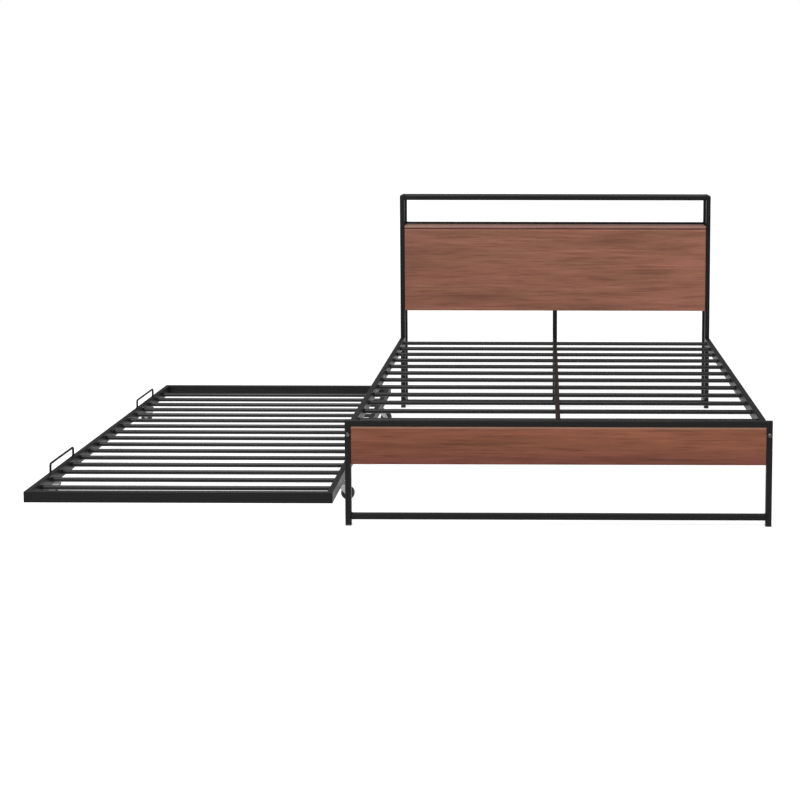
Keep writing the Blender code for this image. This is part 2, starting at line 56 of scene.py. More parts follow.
# ---------------------------------------------------------------- shader helpers
class Shader:
    """A Principled material with short calls for the nodes that this scene uses."""

    def __init__(self, name, color, roughness, metallic=0.0, **constants):
        self.material = bpy.data.materials.new(name)
        self.material.use_nodes = True
        self.tree = self.material.node_tree
        self.shader = self.tree.nodes["Principled BSDF"]
        self.shader.inputs["Base Color"].default_value = (*color, 1.0)
        self.shader.inputs["Roughness"].default_value = roughness
        self.shader.inputs["Metallic"].default_value = metallic
        for socket, value in constants.items():
            self.shader.inputs[socket.replace("_", " ")].default_value = value
        self.place = self.tree.nodes.new("ShaderNodeTexCoord").outputs["Object"]

    def node(self, kind, **values):
        made = self.tree.nodes.new(kind)
        for key, value in values.items():
            setattr(made, key, value)
        return made

    def link(self, source, target):
        self.tree.links.new(source, target)

    def stretched(self, scale, shift=(0, 0, 0)):
        mapping = self.node("ShaderNodeMapping")
        mapping.inputs["Scale"].default_value = scale
        mapping.inputs["Location"].default_value = shift
        self.link(self.place, mapping.inputs["Vector"])
        return mapping.outputs["Vector"]

    def noise(self, vector, scale, detail=2.0, rough=0.5):
        made = self.node("ShaderNodeTexNoise")
        self.link(vector, made.inputs["Vector"])
        made.inputs["Scale"].default_value = scale
        made.inputs["Detail"].default_value = detail
        made.inputs["Roughness"].default_value = rough
        return made.outputs["Fac"]

    def ramp(self, source, stops):
        """stops are (place, value) or (place, colour)."""
        made = self.node("ShaderNodeValToRGB")
        elements = made.color_ramp.elements
        while len(elements) < len(stops):
            elements.new(0.5)
        for element, (place, value) in zip(elements, stops):
            element.position = place
            color = value if isinstance(value, tuple) else (value, value, value)
            element.color = (*color, 1.0)
        self.link(source, made.inputs["Fac"])
        return made.outputs["Color"]

    def span(self, source, low, high, source_low=0.0, source_high=1.0):
        made = self.node("ShaderNodeMapRange")
        self.link(source, made.inputs["Value"])
        made.inputs["From Min"].default_value = source_low
        made.inputs["From Max"].default_value = source_high
        made.inputs["To Min"].default_value = low
        made.inputs["To Max"].default_value = high
        return made.outputs["Result"]

    def math(self, operation, first, second):
        made = self.node("ShaderNodeMath", operation=operation)
        for socket, value in zip(made.inputs, (first, second)):
            if isinstance(value, (int, float)):
                socket.default_value = value
            else:
                self.link(value, socket)
        return made.outputs["Value"]

    def mix(self, factor, first, second, blend="MIX"):
        made = self.node("ShaderNodeMix", data_type="RGBA", blend_type=blend)
        color_a, color_b = made.inputs[6], made.inputs[7]
        for socket, value in ((made.inputs["Factor"], factor), (color_a, first), (color_b, second)):
            if isinstance(value, (int, float)):
                socket.default_value = value
            elif isinstance(value, tuple):
                socket.default_value = (*value, 1.0)
            else:
                self.link(value, socket)
        return made.outputs[2]

    def bump(self, height, strength, distance):
        made = self.node("ShaderNodeBump")
        made.inputs["Strength"].default_value = strength
        made.inputs["Distance"].default_value = distance
        self.link(height, made.inputs["Height"])
        return made.outputs["Normal"]

    def done(self, color, roughness, normal):
        for name, source in (("Base Color", color), ("Roughness", roughness), ("Normal", normal)):
            self.link(source, self.shader.inputs[name])
        return self.material


# ---------------------------------------------------------------- materials
def powder_coat(name, color, gloss, shine=0.14):
    """Baked powder coat: near-black with a fine orange peel and slight gloss changes."""
    coat = Shader(name, color, gloss, Specular_IOR_Level=shine)
    plain = coat.stretched((1, 1, 1))
    cloud = coat.noise(plain, 9.0, 3.0)
    tint = coat.mix(cloud, tuple(0.82 * c for c in color), tuple(1.2 * c for c in color))
    peel = coat.noise(plain, 900.0, 2.0, 0.55)
    grit = coat.noise(plain, 2600.0, 1.0, 0.5)
    height = coat.math("ADD", peel, coat.math("MULTIPLY", grit, 0.35))
    return coat.done(color=tint, roughness=coat.span(cloud, gloss - 0.05, gloss + 0.06, 0.3, 0.7),
                     normal=coat.bump(height, 0.35, 0.00012))


WOOD_BANDS = [(0.28, (0.150, 0.066, 0.043)), (0.44, (0.225, 0.097, 0.064)),
              (0.58, (0.268, 0.112, 0.078)), (0.75, (0.315, 0.140, 0.096))]
WOOD_OLIVE = (0.212, 0.112, 0.062)
WOOD_DARK_STREAK = (0.122, 0.050, 0.035)
WOOD_PALE_STREAK = (0.37, 0.170, 0.118)
WOOD_FIBRE = (0.165, 0.070, 0.047)
WOOD_LINE = (0.105, 0.040, 0.029)
WOOD_PORE = (0.085, 0.036, 0.025)
# The next colour and depths paint a highlight: a pale band just under each board's top edge, where it catches
# the light.
WOOD_EDGE_HIGHLIGHT = (0.37, 0.235, 0.175)
EDGE_HIGHLIGHT_FROM_TOP = (0.0085, 0.0045)


def walnut(name, node, shift, tone, low_tone=(1.0, 1.0, 1.0), painted_light_left_to_right=(0.96, 1.06)):
    """Walnut-grained laminate with the grain along X: broad bands, streaks, fine fibres, lines and pores.

    tone tints the whole board and low_tone its lowest third. The last argument is painted light: how its
    brightness changes along X, lighter where more light falls. The band along its top edge is paler: a
    painted highlight.
    """
    low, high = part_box(node)
    wood = Shader(name, (0.26, 0.11, 0.075), 0.42, Specular_IOR_Level=0.12)
    warp = wood.noise(wood.stretched((0.8, 1, 4.5), shift), 1.0, 2.0)
    place = wood.node("ShaderNodeSeparateXYZ")
    wood.link(wood.stretched((1, 1, 1), shift), place.inputs["Vector"])
    x, y, z = (place.outputs[axis] for axis in "XYZ")
    across = wood.math("ADD", z, wood.math("MULTIPLY", warp, 0.024))

    def grain(along, cross, detail, rough):
        combined = wood.node("ShaderNodeCombineXYZ")
        wood.link(wood.math("MULTIPLY", x, along), combined.inputs["X"])
        wood.link(y, combined.inputs["Y"])
        wood.link(wood.math("MULTIPLY", across, cross), combined.inputs["Z"])
        return wood.noise(combined.outputs["Vector"], 1.0, detail, rough)

    def overlay(base, mask, strength, color):
        return wood.mix(wood.math("MULTIPLY", mask, strength), base, color)

    bands = grain(1.6, 20.0, 3.0, 0.6)
    streaks = grain(5.5, 130.0, 4.0, 0.62)
    fibres = grain(14.0, 900.0, 2.0, 0.6)
    lines = wood.ramp(grain(2.6, 215.0, 2.0, 0.5), [(0.30, 1.0), (0.37, 0.0)])
    pores = wood.ramp(grain(30.0, 1500.0, 1.0, 0.5), [(0.26, 1.0), (0.33, 0.0)])
    hue = wood.noise(wood.stretched((1.7, 1, 17.0), shift), 1.0, 3.0)
    base = wood.ramp(bands, WOOD_BANDS)
    base = wood.mix(wood.span(hue, 0.0, 0.46, 0.47, 0.72), base, WOOD_OLIVE)
    base = overlay(base, wood.ramp(streaks, [(0.36, 1.0), (0.49, 0.0)]), 0.55, WOOD_DARK_STREAK)
    base = overlay(base, wood.ramp(streaks, [(0.56, 0.0), (0.68, 1.0)]), 0.34, WOOD_PALE_STREAK)
    base = wood.mix(wood.span(fibres, 0.0, 0.22, 0.35, 0.65), base, WOOD_FIBRE)
    base = overlay(base, lines, 0.5, WOOD_LINE)
    base = overlay(base, pores, 0.5, WOOD_PORE)
    base = wood.mix(1.0, base, tone, "MULTIPLY")
    wave = 0.05
    wavy_z = wood.math("ADD", z, wood.math("MULTIPLY", bands, wave))
    third = low.z + wave / 2 + (high.z - low.z) / 3 + shift[2]
    lower = wood.span(wavy_z, 1.0, 0.0, third - 0.03, third + 0.03)
    base = wood.mix(lower, base, wood.mix(1.0, base, low_tone, "MULTIPLY"))
    # Painted light: the board is darker on the left and lighter on the right, as the light falls on it.
    painted_light_ramp = wood.span(x, *painted_light_left_to_right, low.x + shift[0], high.x + shift[0])
    base = wood.mix(1.0, base, painted_light_ramp, "MULTIPLY")
    # Painted highlight: a paler band just under the top edge, where the edge catches the light.
    highlight_low, highlight_high = (high.z + shift[2] - depth for depth in EDGE_HIGHLIGHT_FROM_TOP)
    base = wood.mix(wood.span(z, 0.0, 0.38, highlight_low, highlight_high), base, WOOD_EDGE_HIGHLIGHT)
    relief = wood.math("SUBTRACT", wood.math("MULTIPLY", fibres, 0.4), pores)
    return wood.done(color=base, roughness=wood.span(streaks, 0.40, 0.54, 0.3, 0.7),
                     normal=wood.bump(relief, 0.25, 0.00010))


def zinc(name, color=(0.42, 0.43, 0.43), gloss=0.32):
    """Zinc-plated steel: bright with cloudy passivation and fine drawing lines."""
    metal = Shader(name, color, gloss, metallic=1.0)
    plain = metal.stretched((1, 1, 1))
    cloud = metal.noise(plain, 70.0, 4.0, 0.6)
    tint = metal.mix(metal.span(cloud, 0.0, 1.0, 0.3, 0.7), tuple(0.72 * c for c in color), color)
    warm = metal.noise(plain, 160.0, 2.0)
    tint = metal.mix(metal.span(warm, 0.0, 0.25, 0.45, 0.7), tint, (0.52, 0.46, 0.34))
    lines = metal.noise(metal.stretched((300, 300, 2600)), 1.0, 2.0)
    return metal.done(color=tint, roughness=metal.span(cloud, gloss - 0.06, gloss + 0.16, 0.3, 0.7),
                      normal=metal.bump(lines, 0.12, 0.00005))


def moulded(name, color, gloss, shine=0.5):
    """Moulded plastic with a fine spark-eroded grain."""
    plastic = Shader(name, color, gloss, Specular_IOR_Level=shine)
    plain = plastic.stretched((1, 1, 1))
    grain = plastic.noise(plain, 1800.0, 2.0, 0.6)
    rub = plastic.noise(plain, 120.0, 3.0)
    tint = plastic.mix(plastic.span(rub, 0.0, 1.0, 0.4, 0.75), color, tuple(2.2 * c for c in color))
    return plastic.done(color=tint, roughness=plastic.span(rub, gloss - 0.06, gloss + 0.12, 0.3, 0.7),
                        normal=plastic.bump(grain, 0.3, 0.00008))


BLACK_COAT = powder_coat("black_powder_coat", (0.0062, 0.0062, 0.0065), 0.40)
WELD_COAT = powder_coat("black_powder_coat_on_weld", (0.0062, 0.0062, 0.0065), 0.44)
SLAT_COAT = powder_coat("black_powder_coat_on_slats", (0.0056, 0.0056, 0.0059), 0.30, 0.22)
# The head panel's stronger ramp is painted light: darker on its left, lighter on its right.
WALNUT_HEAD = walnut("walnut_head", "head_panel", (0.0, 0.0, 0.0), (0.87, 0.84, 0.82),
                     painted_light_left_to_right=(0.80, 1.12))
WALNUT_FOOT = walnut("walnut_foot", "foot_panel", (3.7, 0.0, 1.3), (0.72, 0.59, 0.49), (0.80, 0.74, 0.90))
# The shelf's greyer, bluer tone is painted reflection: its top, seen at a grazing angle, mirrors the bright
# surroundings.
WALNUT_SHELF = walnut("walnut_shelf", "head_shelf", (7.1, 0.0, 2.9), (0.74, 0.79, 1.02))
ZINC = zinc("zinc_plate")
BOLT_METAL = zinc("black_nickel", (0.085, 0.085, 0.089), 0.25)
NYLON = moulded("black_nylon", (0.010, 0.010, 0.011), 0.42)
CAP_PLASTIC = moulded("black_cap", (0.012, 0.012, 0.012), 0.5)
# Painted shadow: the colour of the dark strip under the shelf's front edge, where only shade falls.
SHELF_PAINTED_SHADOW = moulded("shelf_shadow_strip", (0.038, 0.008, 0.006), 0.7, 0.1)

WOOD_NODES = {"head_panel": WALNUT_HEAD, "foot_panel": WALNUT_FOOT, "head_shelf": WALNUT_SHELF}


def coat_nodes():
    """A material for every CAD node: walnut on the boards, powder coat on the steel."""
    for name, item in NODES.items():
        material = WOOD_NODES.get(name, BLACK_COAT)
        item.data.materials.clear()
        item.data.materials.append(material)


# ---------------------------------------------------------------- mesh helpers
def middle_of(box):
    return (box[0] + box[1]) / 2


def size_of(box):
    return box[1] - box[0]


def piece(name, bm, material, body, smooth_angle=35):
    """A bmesh made into a visible piece that rides on a body."""
    bmesh.ops.recalc_face_normals(bm, faces=bm.faces)
    mesh = bpy.data.meshes.new(name)
    bm.to_mesh(mesh)
    bm.free()
    mesh.materials.append(material)
    mesh.shade_smooth()
    mesh.set_sharp_from_angle(angle=math.radians(smooth_angle))
    item = bpy.data.objects.new(name, mesh)
    bpy.context.scene.collection.objects.link(item)
    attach(item, body)
    return item


def round_profile(bm, profile, sides, place):
    """Loops of a profile turned about +Z. A point is (radius, height) or (radius, height, corners).

    With corners, the point's loop is a polygon of that many corners and that inner radius.
    """
    loops = []
    for point in profile:
        radius, height = point[:2]
        loop = []
        for step in range(sides):
            angle = 2 * math.pi * step / sides
            reach = radius
            if len(point) == 3:
                sector = 2 * math.pi / point[2]
                reach = radius / math.cos(angle % sector - sector / 2)
            around = Vector((reach * math.cos(angle), reach * math.sin(angle), height))
            loop.append(bm.verts.new(place @ around))
        loops.append(loop)
    return loops


def skin(bm, loops, closed):
    """Faces between each loop and the next; closed joins the last to the first, else both ends are capped."""
    pairs = list(zip(loops, loops[1:] + loops[:1])) if closed else list(zip(loops, loops[1:]))
    count = len(loops[0])
    for first, second in pairs:
        for i in range(count):
            j = (i + 1) % count
            bm.faces.new((first[i], first[j], second[j], second[i]))
    if not closed:
        bm.faces.new(list(reversed(loops[0])))
        bm.faces.new(loops[-1])


def turned(bm, profile, place, sides=48, closed=False):
    skin(bm, round_profile(bm, profile, sides, place), closed)


def spot(position, axis):
    """The frame at a position whose +Z points along the axis."""
    return Matrix.Translation(position) @ AXIS_TURN[axis]


def rounded_box(bm, size, place, radius, segments=2):
    """A box with rounded edges, centred on the place."""
    made = bmesh.ops.create_cube(bm, size=1.0)["verts"]
    bmesh.ops.scale(bm, vec=size, verts=made)
    edges = list({e for v in made for e in v.link_edges})
    result = bmesh.ops.bevel(bm, geom=edges, offset=radius, offset_type="OFFSET", segments=segments,
                             profile=0.5, affect="EDGES")
    verts = list({v for f in result["faces"] for v in f.verts})
    bmesh.ops.transform(bm, matrix=place, verts=verts)


# ---------------------------------------------------------------- slats and their welds
SLAT_RADIUS = 0.008
SLAT_WALL = 0.0012
WELD_LEG = 0.0021


def slat_piece(node, body):
    """A round tube with broken edges in place of a slat's CAD node. Returns its middle and half length."""
    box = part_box(node)
    half = size_of(box).x / 2
    edge = 0.0003
    bore = SLAT_RADIUS - SLAT_WALL
    profile = [(bore, -half), (SLAT_RADIUS - edge, -half), (SLAT_RADIUS, -half + edge),
               (SLAT_RADIUS, -half / 2), (SLAT_RADIUS, 0), (SLAT_RADIUS, half / 2),
               (SLAT_RADIUS, half - edge), (SLAT_RADIUS - edge, half), (bore, half)]
    bm = bmesh.new()
    turned(bm, profile, spot(middle_of(box), "+X"), sides=40, closed=True)
    item = piece(f"{node}_tube", bm, SLAT_COAT, body)
    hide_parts(node)
    return middle_of(box), half


def rounded_outline(half_u, half_v, corner, corner_steps, side_steps):
    """Points and outward directions round a rounded rectangle; corner = half_u = half_v gives a circle."""
    outline = []
    for quarter, (su, sv) in enumerate(((1, 1), (-1, 1), (-1, -1), (1, -1))):
        centre = Vector((su * (half_u - corner), sv * (half_v - corner)))
        for step in range(corner_steps + 1):
            angle = math.pi / 2 * (quarter + step / corner_steps)
            away = Vector((math.cos(angle), math.sin(angle)))
            if step < corner_steps:
                outline.append((centre + away * corner, away))
        start = centre + away * corner
        along = Vector((-away.y, away.x))
        length = 2 * ((half_u if quarter % 2 == 0 else half_v) - corner)
        for step in range(side_steps):
            outline.append((start + along * length * step / side_steps, away))
    return outline


def weld_loop(bm, place, outline, phase, leg=WELD_LEG):
    """A rippled fillet weld round a tube that stands on the local XY plane and rises along +Z.

    phase shifts the ripples, so that no two welds look the same.
    """
    loops = []
    for step, (point, away) in enumerate(outline):
        turn = 2 * math.pi * step / len(outline)
        size = leg * (1 + 0.15 * math.sin(11 * turn + phase) + 0.09 * math.sin(4 * turn + 2.3 * phase))
        section = [(-0.0004, -0.0004), (-0.0004, size * 0.9), (0.0001, size)]
        for part in (0.25, 0.5, 0.75):
            bend = part * math.pi / 2
            section.append((size * (1 - math.cos(bend)) + 0.0002, size * (1 - math.sin(bend)) + 0.0001))
        section += [(size, 0.0001), (size, -0.0004)]
        loops.append([bm.verts.new(place @ Vector((point.x + away.x * out, point.y + away.y * out, rise)))
                      for rise, out in section])
    skin(bm, loops, closed=True)


def slats(prefix, body, label):
    """Every slat of a deck, with one piece of weld beads along each end."""
    count = sum(name.startswith(prefix) for name in NODES)
    seams = {"left": bmesh.new(), "right": bmesh.new()}
    ring = rounded_outline(SLAT_RADIUS, SLAT_RADIUS, SLAT_RADIUS, 10, 0)
    for number in range(1, count + 1):
        middle, half = slat_piece(f"{prefix}_{number:02d}", body)
        weld_loop(seams["left"], spot(middle - Vector((half, 0, 0)), "+X"), ring, 0.7 * number)
        weld_loop(seams["right"], spot(middle + Vector((half, 0, 0)), "-X"), ring, 1.1 * number + 0.4)
    for side, bm in seams.items():
        piece(f"{label}_slat_welds_{side}", bm, WELD_COAT, body, 60)


# ---------------------------------------------------------------- fasteners
FRAME_WASHER = 0.0080
WASHER_THICK = 0.0011


def button_bolt(bm, position, axis, radius=0.0074, height=0.0038, socket=0.0024):
    """A domed bolt head with a hexagon socket."""
    place = spot(position, axis)
    rim = 0.0009
    profile = [(radius * 0.97, -0.0002), (radius, 0.0002), (radius, rim)]
    for step in range(1, 7):
        angle = math.radians(90 * step / 6)
        profile.append((socket * 1.45 + (radius - socket * 1.45) * math.cos(angle),
                        rim + (height - rim) * math.sin(angle)))
    profile += [(socket * 1.12, height - 0.0001, 6), (socket, height - 0.0004, 6),
                (socket, height - 0.0024, 6), (socket * 0.4, height - 0.0028)]
    turned(bm, profile, place, sides=48)


def washer(bm, position, axis, radius, bore=0.0042, thick=WASHER_THICK):
    """A flat ring with broken edges."""
    place = spot(position, axis)
    edge = 0.00025
    profile = [(bore, 0), (radius - edge, 0), (radius, edge), (radius, thick - edge),
               (radius - edge, thick), (bore + edge, thick), (bore, thick - edge)]
    turned(bm, profile, place, sides=40, closed=True)


def pan_screw(bm, position, axis, radius=0.0038):
    """A pan head with a cross recess shown as a four-cornered sink."""
    height = 0.0022
    skirt = 0.0004
    profile = [(radius * 0.96, -0.0001), (radius, skirt)]
    for step in range(1, 5):
        angle = math.radians(90 * step / 4)
        profile.append((radius * (0.45 + 0.55 * math.cos(angle)), skirt + (height - skirt) * math.sin(angle)))
    profile += [(radius * 0.30, height - 0.0001, 4), (radius * 0.12, height - 0.0012, 4)]
    turned(bm, profile, spot(position, axis), sides=32)


def bed_fasteners():
    """Bolts that hold the side rails to the foot posts and the headboard's front posts, and the shelf's."""
    foot_left, foot_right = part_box("foot_post_left"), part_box("foot_post_right")
    rail_z = middle_of(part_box("side_rail_left")).z
    shelf_z = middle_of(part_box("head_shelf")).z
    tube = size_of(foot_left).x
    bolts = bmesh.new()
    washers = bmesh.new()
    coated = bmesh.new()
    for post in (foot_left, foot_right):
        button_bolt(bolts, Vector((middle_of(post).x, post[0].y, rail_z)), "-Y")
    for side_box in (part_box("head_side_left"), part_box("head_side_right")):
        x = middle_of(side_box).x
        front = side_box[0].y
        back = front + tube
        washer(washers, Vector((x, back, rail_z)), "+Y", FRAME_WASHER)
        button_bolt(bolts, Vector((x, back + WASHER_THICK, rail_z)), "+Y")
        button_bolt(coated, Vector((x, front, shelf_z)), "-Y", radius=0.0058, height=0.003)
    piece("frame_bolts", bolts, BOLT_METAL, BED)
    piece("shelf_bolts", coated, BLACK_COAT, BED)
    piece("frame_washers", washers, BOLT_METAL, BED)


# ---------------------------------------------------------------- frame details
SEAM_PROUD = 0.00022
SEAM_SHORT = 0.0006
SEAM_THICK = 0.0010
CAP_PROUD = 0.0003
CAP_HEIGHT = 0.0042
TUBE_CORNER = 0.0022


def mitre_seam(bm, centre, across, deep, normal):
    """A dressed weld that fills a mitre: a thin plate in the cut's plane, a touch proud of the tube."""
    z_axis = Vector(normal).normalized()
    x_axis = Vector(across).normalized()
    y_axis = z_axis.cross(x_axis)
    turn = Matrix((x_axis, y_axis, z_axis)).transposed().to_4x4()
    size = (deep[0] + 2 * SEAM_PROUD, deep[1] + 2 * SEAM_PROUD, SEAM_THICK)
    rounded_box(bm, size, Matrix.Translation(centre) @ turn, 0.00035)


def frame_seams():
    """Dressed welds in the mitres at the foot's two top corners and the trundle's four."""
    tube = size_of(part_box("foot_post_left")).x
    diagonal = tube * math.sqrt(2) - 2 * SEAM_SHORT
    bm = bmesh.new()
    for side, name in ((-1, "foot_post_left"), (1, "foot_post_right")):
        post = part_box(name)
        centre = Vector((middle_of(post).x, middle_of(post).y, post[1].z - tube / 2))
        mitre_seam(bm, centre, (side, 0, 1), (diagonal, tube - SEAM_SHORT), (1, 0, -side))
    piece("foot_mitre_seams", bm, WELD_COAT, BED)
    bm = bmesh.new()
    for side, name in ((-1, "trundle_rail_left"), (1, "trundle_rail_right")):
        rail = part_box(name)
        height = size_of(rail).z - SEAM_SHORT
        for end in (-1, 1):
            y = rail[1].y - tube / 2 if end > 0 else rail[0].y + tube / 2
            centre = Vector((middle_of(rail).x, y, middle_of(rail).z))
            mitre_seam(bm, centre, (side, end, 0), (diagonal, height), (1, -side * end, 0))
    piece("trundle_mitre_seams", bm, WELD_COAT, TRUNDLE)


def post_caps():
    """Plugs in the open lower ends of the foot posts and of the headboard's four posts."""
    ends = []
    for name in ("foot_post_left", "foot_post_right"):
        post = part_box(name)
        ends.append((middle_of(post).x, middle_of(post).y, size_of(post).x, size_of(post).y))
    for name in ("head_side_left", "head_side_right"):
        side_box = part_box(name)
        tube = size_of(side_box).x
        for y in (side_box[0].y + tube / 2, side_box[1].y - tube / 2):
            ends.append((middle_of(side_box).x, y, tube, tube))
    bm = bmesh.new()
    for x, y, wide, deep in ends:
        size = (wide + 2 * CAP_PROUD, deep + 2 * CAP_PROUD, CAP_HEIGHT)
        rounded_box(bm, size, Matrix.Translation((x, y, CAP_HEIGHT / 2)), 0.0012, 3)
    piece("post_caps", bm, CAP_PLASTIC, BED)


def tube_outline(wide_u, wide_v):
    """The outline of a rectangular tube of these outer widths."""
    return rounded_outline(wide_u / 2, wide_v / 2, TUBE_CORNER, 3, 9)


def tube_welds():
    """Fillet welds round the ends of the foot's lower rail and the shelf's rail, and under the centre bar."""
    bm = bmesh.new()
    left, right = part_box("foot_post_left"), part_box("foot_post_right")
    tube = size_of(left).x
    square = tube_outline(tube, tube)
    rail = middle_of(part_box("foot_lower_rail"))
    weld_loop(bm, spot((left[1].x, rail.y, rail.z), "+X"), square, 0.3)
    weld_loop(bm, spot((right[0].x, rail.y, rail.z), "-X"), square, 1.9)
    left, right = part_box("head_side_left"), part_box("head_side_right")
    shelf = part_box("head_shelf_rail")
    z = middle_of(shelf).z
    around = tube_outline(size_of(shelf).z, size_of(shelf).y)
    weld_loop(bm, spot((left[1].x, left[1].y - tube / 2, z), "+X"), around, z)
    weld_loop(bm, spot((right[0].x, right[1].y - tube / 2, z), "-X"), around, z + 1)
    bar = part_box("head_centre_bar")
    around = tube_outline(size_of(bar).x, size_of(bar).y)
    weld_loop(bm, spot((middle_of(bar).x, middle_of(bar).y, bar[0].z), "+Z"), around, 2.2)
    piece("tube_welds", bm, WELD_COAT, BED, 60)


# ---------------------------------------------------------------- what holds the panels and the shelf
BEHIND_PANEL = 0.0001
TAB_SIZE = (0.034, 0.0022, 0.026)
TAB_IN_POST = 0.0002
TAB_SCREWS = (0.011, 0.026)
BRACKET_WIDE = 0.024
BRACKET_DROP = 0.028
BRACKET_REACH = 0.026
BRACKET_PLATE = 0.0020
BRACKET_SCREW = 0.017
BRACKET_PLACES = (0.08, 0.36, 0.64, 0.92)


def add_panel_tabs(tabs, screws):
    """Two welded tabs at each end of both panels, each with two screws."""
    for panel_name, post_names in (("foot_panel", ("foot_post_left", "foot_post_right")),
                                   ("head_panel", ("head_side_left", "head_side_right"))):
        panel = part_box(panel_name)
        back = panel[1].y + BEHIND_PANEL
        for side, post_name in zip((1, -1), post_names):
            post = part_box(post_name)
            inner = post[1].x if side > 0 else post[0].x
            for part in (0.2, 0.8):
                z = panel[0].z + size_of(panel).z * part
                x = inner + side * (TAB_SIZE[0] / 2 - TAB_IN_POST)
                rounded_box(tabs, TAB_SIZE, Matrix.Translation((x, back + TAB_SIZE[1] / 2, z)), 0.0007)
                for reach in TAB_SCREWS:
                    pan_screw(screws, Vector((inner + side * reach, back + TAB_SIZE[1], z)), "+Y")


def add_shelf_brackets(tabs, screws):
    """Four angles of two plates in the corner under the shelf and behind the head panel."""
    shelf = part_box("head_shelf")
    under = shelf[0].z
    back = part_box("head_panel")[1].y + BEHIND_PANEL
    for part in BRACKET_PLACES:
        x = shelf[0].x + size_of(shelf).x * part
        upright = Matrix.Translation((x, back + BRACKET_PLATE / 2, under - BRACKET_DROP / 2 - 0.0005))
        rounded_box(tabs, (BRACKET_WIDE, BRACKET_PLATE, BRACKET_DROP), upright, 0.0006)
        level = Matrix.Translation((x, back + BRACKET_REACH / 2, under - BRACKET_PLATE / 2 - BEHIND_PANEL))
        rounded_box(tabs, (BRACKET_WIDE, BRACKET_REACH, BRACKET_PLATE), level, 0.0006)
        pan_screw(screws, Vector((x, back + BRACKET_PLATE, under - BRACKET_SCREW)), "+Y")
        pan_screw(screws, Vector((x, back + BRACKET_SCREW, under - BRACKET_PLATE - BEHIND_PANEL)), "-Z")


def panel_fixings():
    """The tabs and brackets as one piece, their screws as another."""
    tabs = bmesh.new()
    screws = bmesh.new()
    add_panel_tabs(tabs, screws)
    add_shelf_brackets(tabs, screws)
    piece("panel_tabs", tabs, BLACK_COAT, BED)
    piece("panel_screws", screws, ZINC, BED)


def shelf_painted_shadow_strip():
    """A dark strip along the joint between the head panel and the shelf: painted shadow of the shelf on the
    panel's top edge.
    """
    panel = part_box("head_panel")
    bm = bmesh.new()
    place = Matrix.Translation((middle_of(panel).x, panel[0].y + 0.0003, panel[1].z - 0.0014))
    rounded_box(bm, (size_of(panel).x, 0.0012, 0.0046), place, 0.0004)
    piece("shelf_painted_shadow_strip", bm, SHELF_PAINTED_SHADOW, BED)


# ---------------------------------------------------------------- trundle handles
HANDLE_BEND = 0.009


def swept(bm, path, radius, sides):
    """A round bar along a path in a plane of constant X."""
    side = Vector((1, 0, 0))
    loops = []
    for number, point in enumerate(path):
        before = path[max(number - 1, 0)]
        after = path[min(number + 1, len(path) - 1)]
        up = side.cross((after - before).normalized())
        loop = []
        for step in range(sides):
            angle = 2 * math.pi * step / sides
            loop.append(bm.verts.new(point + radius * (side * math.cos(angle) + up * math.sin(angle))))
        loops.append(loop)
    skin(bm, loops, closed=False)


def handle_path(box, wire):
    """The middle line of a handle's wire: up from the rail, along the grip and down again."""
    x = middle_of(box).x
    middle = middle_of(box).y
    half = size_of(box).y / 2 - wire
    low = box[0].z
    top = box[1].z - wire
    points = [Vector((x, -half, low)), Vector((x, -half, (low + top - HANDLE_BEND) / 2))]
    for step in range(11):
        angle = math.radians(180 - 9 * step)
        points.append(Vector((x, -half + HANDLE_BEND * (1 + math.cos(angle)),
                              top - HANDLE_BEND * (1 - math.sin(angle)))))
    points += [Vector((p.x, -p.y, p.z)) for p in reversed(points)]
    return [p + Vector((0, middle, 0)) for p in points]


def handles():
    """Both handles in place of their CAD nodes, and the weld beads round their feet."""
    beads = bmesh.new()
    for label in ("front", "rear"):
        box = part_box(f"trundle_handle_{label}")
        wire = size_of(box).x / 2
        path = handle_path(box, wire)
        bm = bmesh.new()
        swept(bm, path, wire, 20)
        item = piece(f"trundle_handle_{label}_wire", bm, BLACK_COAT, TRUNDLE)
        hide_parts(f"trundle_handle_{label}")
        ring = rounded_outline(wire, wire, wire, 8, 0)
        for end, foot in ((-1, path[0]), (1, path[-1])):
            place = Matrix.Translation((foot.x, foot.y, foot.z - 0.0002))
            weld_loop(beads, place, ring, 1.3 * end + middle_of(box).y, 0.0016)
    piece("trundle_handle_welds", beads, WELD_COAT, TRUNDLE, 60)


# ---------------------------------------------------------------- casters
FORK_TOP = 0.0580
FORK_PLATE = 0.002
FORK_INSIDE = 0.0195
TRAIL = 0.020
STEM_TOP = 0.0960
WHEEL_RIBS = 6
RIB_SIZE = (0.0096, 0.0016, 0.0026)
AXLE_WAY = Matrix.Rotation(math.pi / 2, 4, "X")


def plate(bm, outline, thick, place, edge=0.0003):
    """A flat plate with broken edges and a convex outline, centred on the local XY plane."""
    centre = Vector((sum(p[0] for p in outline), sum(p[1] for p in outline))) / len(outline)
    loops = []
    half = thick / 2
    for height, inset in ((-half, edge), (edge - half, 0), (half - edge, 0), (half, edge)):
        loop = []
        for point in outline:
            flat = Vector(point)
            toward = (centre - flat).normalized() * inset
            loop.append(bm.verts.new(place @ Vector((flat.x + toward.x, flat.y + toward.y, height))))
        loops.append(loop)
    skin(bm, loops, closed=False)


def cheek_outline(wheel_z):
    """A fork cheek: wide under the crown, waisted behind, round about the axle."""
    top = FORK_TOP - FORK_PLATE / 2
    end_radius = 0.0078
    points = [(-0.0128, top), (-0.0130, top - 0.0055), (-0.0122, top - 0.0095)]
    for step in range(15):
        angle = math.radians(214 + 182 * step / 14)
        points.append((TRAIL + end_radius * math.cos(angle), wheel_z + end_radius * math.sin(angle)))
    points += [(0.0205, top - 0.0170), (0.0172, top - 0.0100), (0.0146, top - 0.0045), (0.0128, top)]
    return points


def from_fork_top(profile):
    return [(radius, FORK_TOP + rise) for radius, rise in profile]


